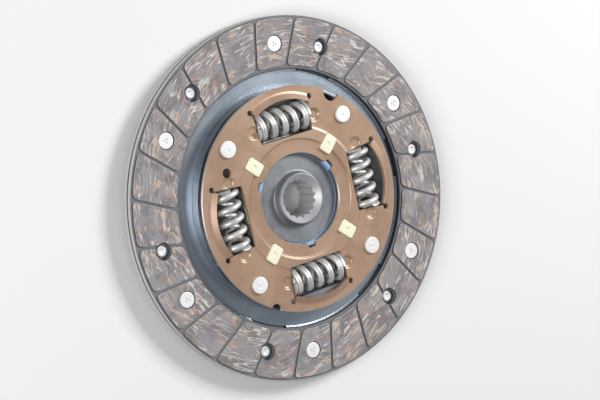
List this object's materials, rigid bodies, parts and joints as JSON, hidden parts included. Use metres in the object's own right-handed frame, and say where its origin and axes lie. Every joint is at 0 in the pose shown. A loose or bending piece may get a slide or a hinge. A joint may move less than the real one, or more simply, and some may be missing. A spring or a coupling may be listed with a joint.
{
  "type": "clutch disc",
  "caption": "Dry clutch disc with grooved friction facings riveted to a cushion disc, and a splined hub between windowed side plates whose coil springs damp its twist.",
  "frame": {"origin": "centre of the hub's rear end face, on the shaft axis", "axes": "+Z along the shaft axis towards the cover plate, +X through the middle of the first damper spring, +Y through the second one"},
  "size_m": [0.2, 0.2, 0.0211],
  "materials": {
    "friction_lining": "matte moulded friction lining with curled pale strands",
    "spring_steel_sheet": "smooth blue-grey spring steel",
    "cover_coating": "satin bronze-brown coating on pressed steel",
    "pressed_steel": "plain grey pressed steel, lightly oiled",
    "bright_zinc": "bright zinc",
    "forged_steel": "matte machined forging",
    "coil_steel": "shot-peened, bright grey",
    "washer_steel": "plain steel",
    "cream_plastic": "moulded, satin",
    "blue_plastic": "moulded, satin",
    "dark_plastic": "moulded, matte"
  },
  "bodies": {
    "disc": {"front_facing": "friction_lining", "rear_facing": "friction_lining", "front_facing_rivets": "bright_zinc", "rear_facing_rivets": "bright_zinc", "cushion_disc": "spring_steel_sheet", "cover_plate": "cover_coating", "drive_plate": "pressed_steel", "stop_pins": "bright_zinc", "front_friction_ring": "cream_plastic", "support_washer": "washer_steel", "cone_spring": "washer_steel", "centering_bushing": "blue_plastic", "rear_friction_washer": "dark_plastic", "rear_bushing": "dark_plastic"},
    "hub": {"hub": "forged_steel"},
    "springs": {"outer_spring_1": "coil_steel", "inner_spring_1": "coil_steel", "outer_spring_2": "coil_steel", "inner_spring_2": "coil_steel", "outer_spring_3": "coil_steel", "inner_spring_3": "coil_steel", "outer_spring_4": "coil_steel", "inner_spring_4": "coil_steel"}
  },
  "joints": [
    {"name": "hub_twist", "type": "hinge", "parent": "disc", "child": "hub", "pos_m": [0, 0, 0.0124], "axis": [0, 0, 1], "range_deg": [-8, 8], "stiffness_Nm_per_rad": 8, "deforming": ["outer_spring_1", "inner_spring_1", "outer_spring_2", "inner_spring_2", "outer_spring_3", "inner_spring_3", "outer_spring_4", "inner_spring_4"]},
    {"name": "spring_swing", "type": "hinge", "parent": "disc", "child": "springs", "pos_m": [0, 0, 0.0124], "axis": [0, 0, 1], "range_deg": [-4, 4]}
  ],
  "couplings": [
    {"joint": "spring_swing", "follows": "hub_twist", "ratio": 0.5}
  ]
}
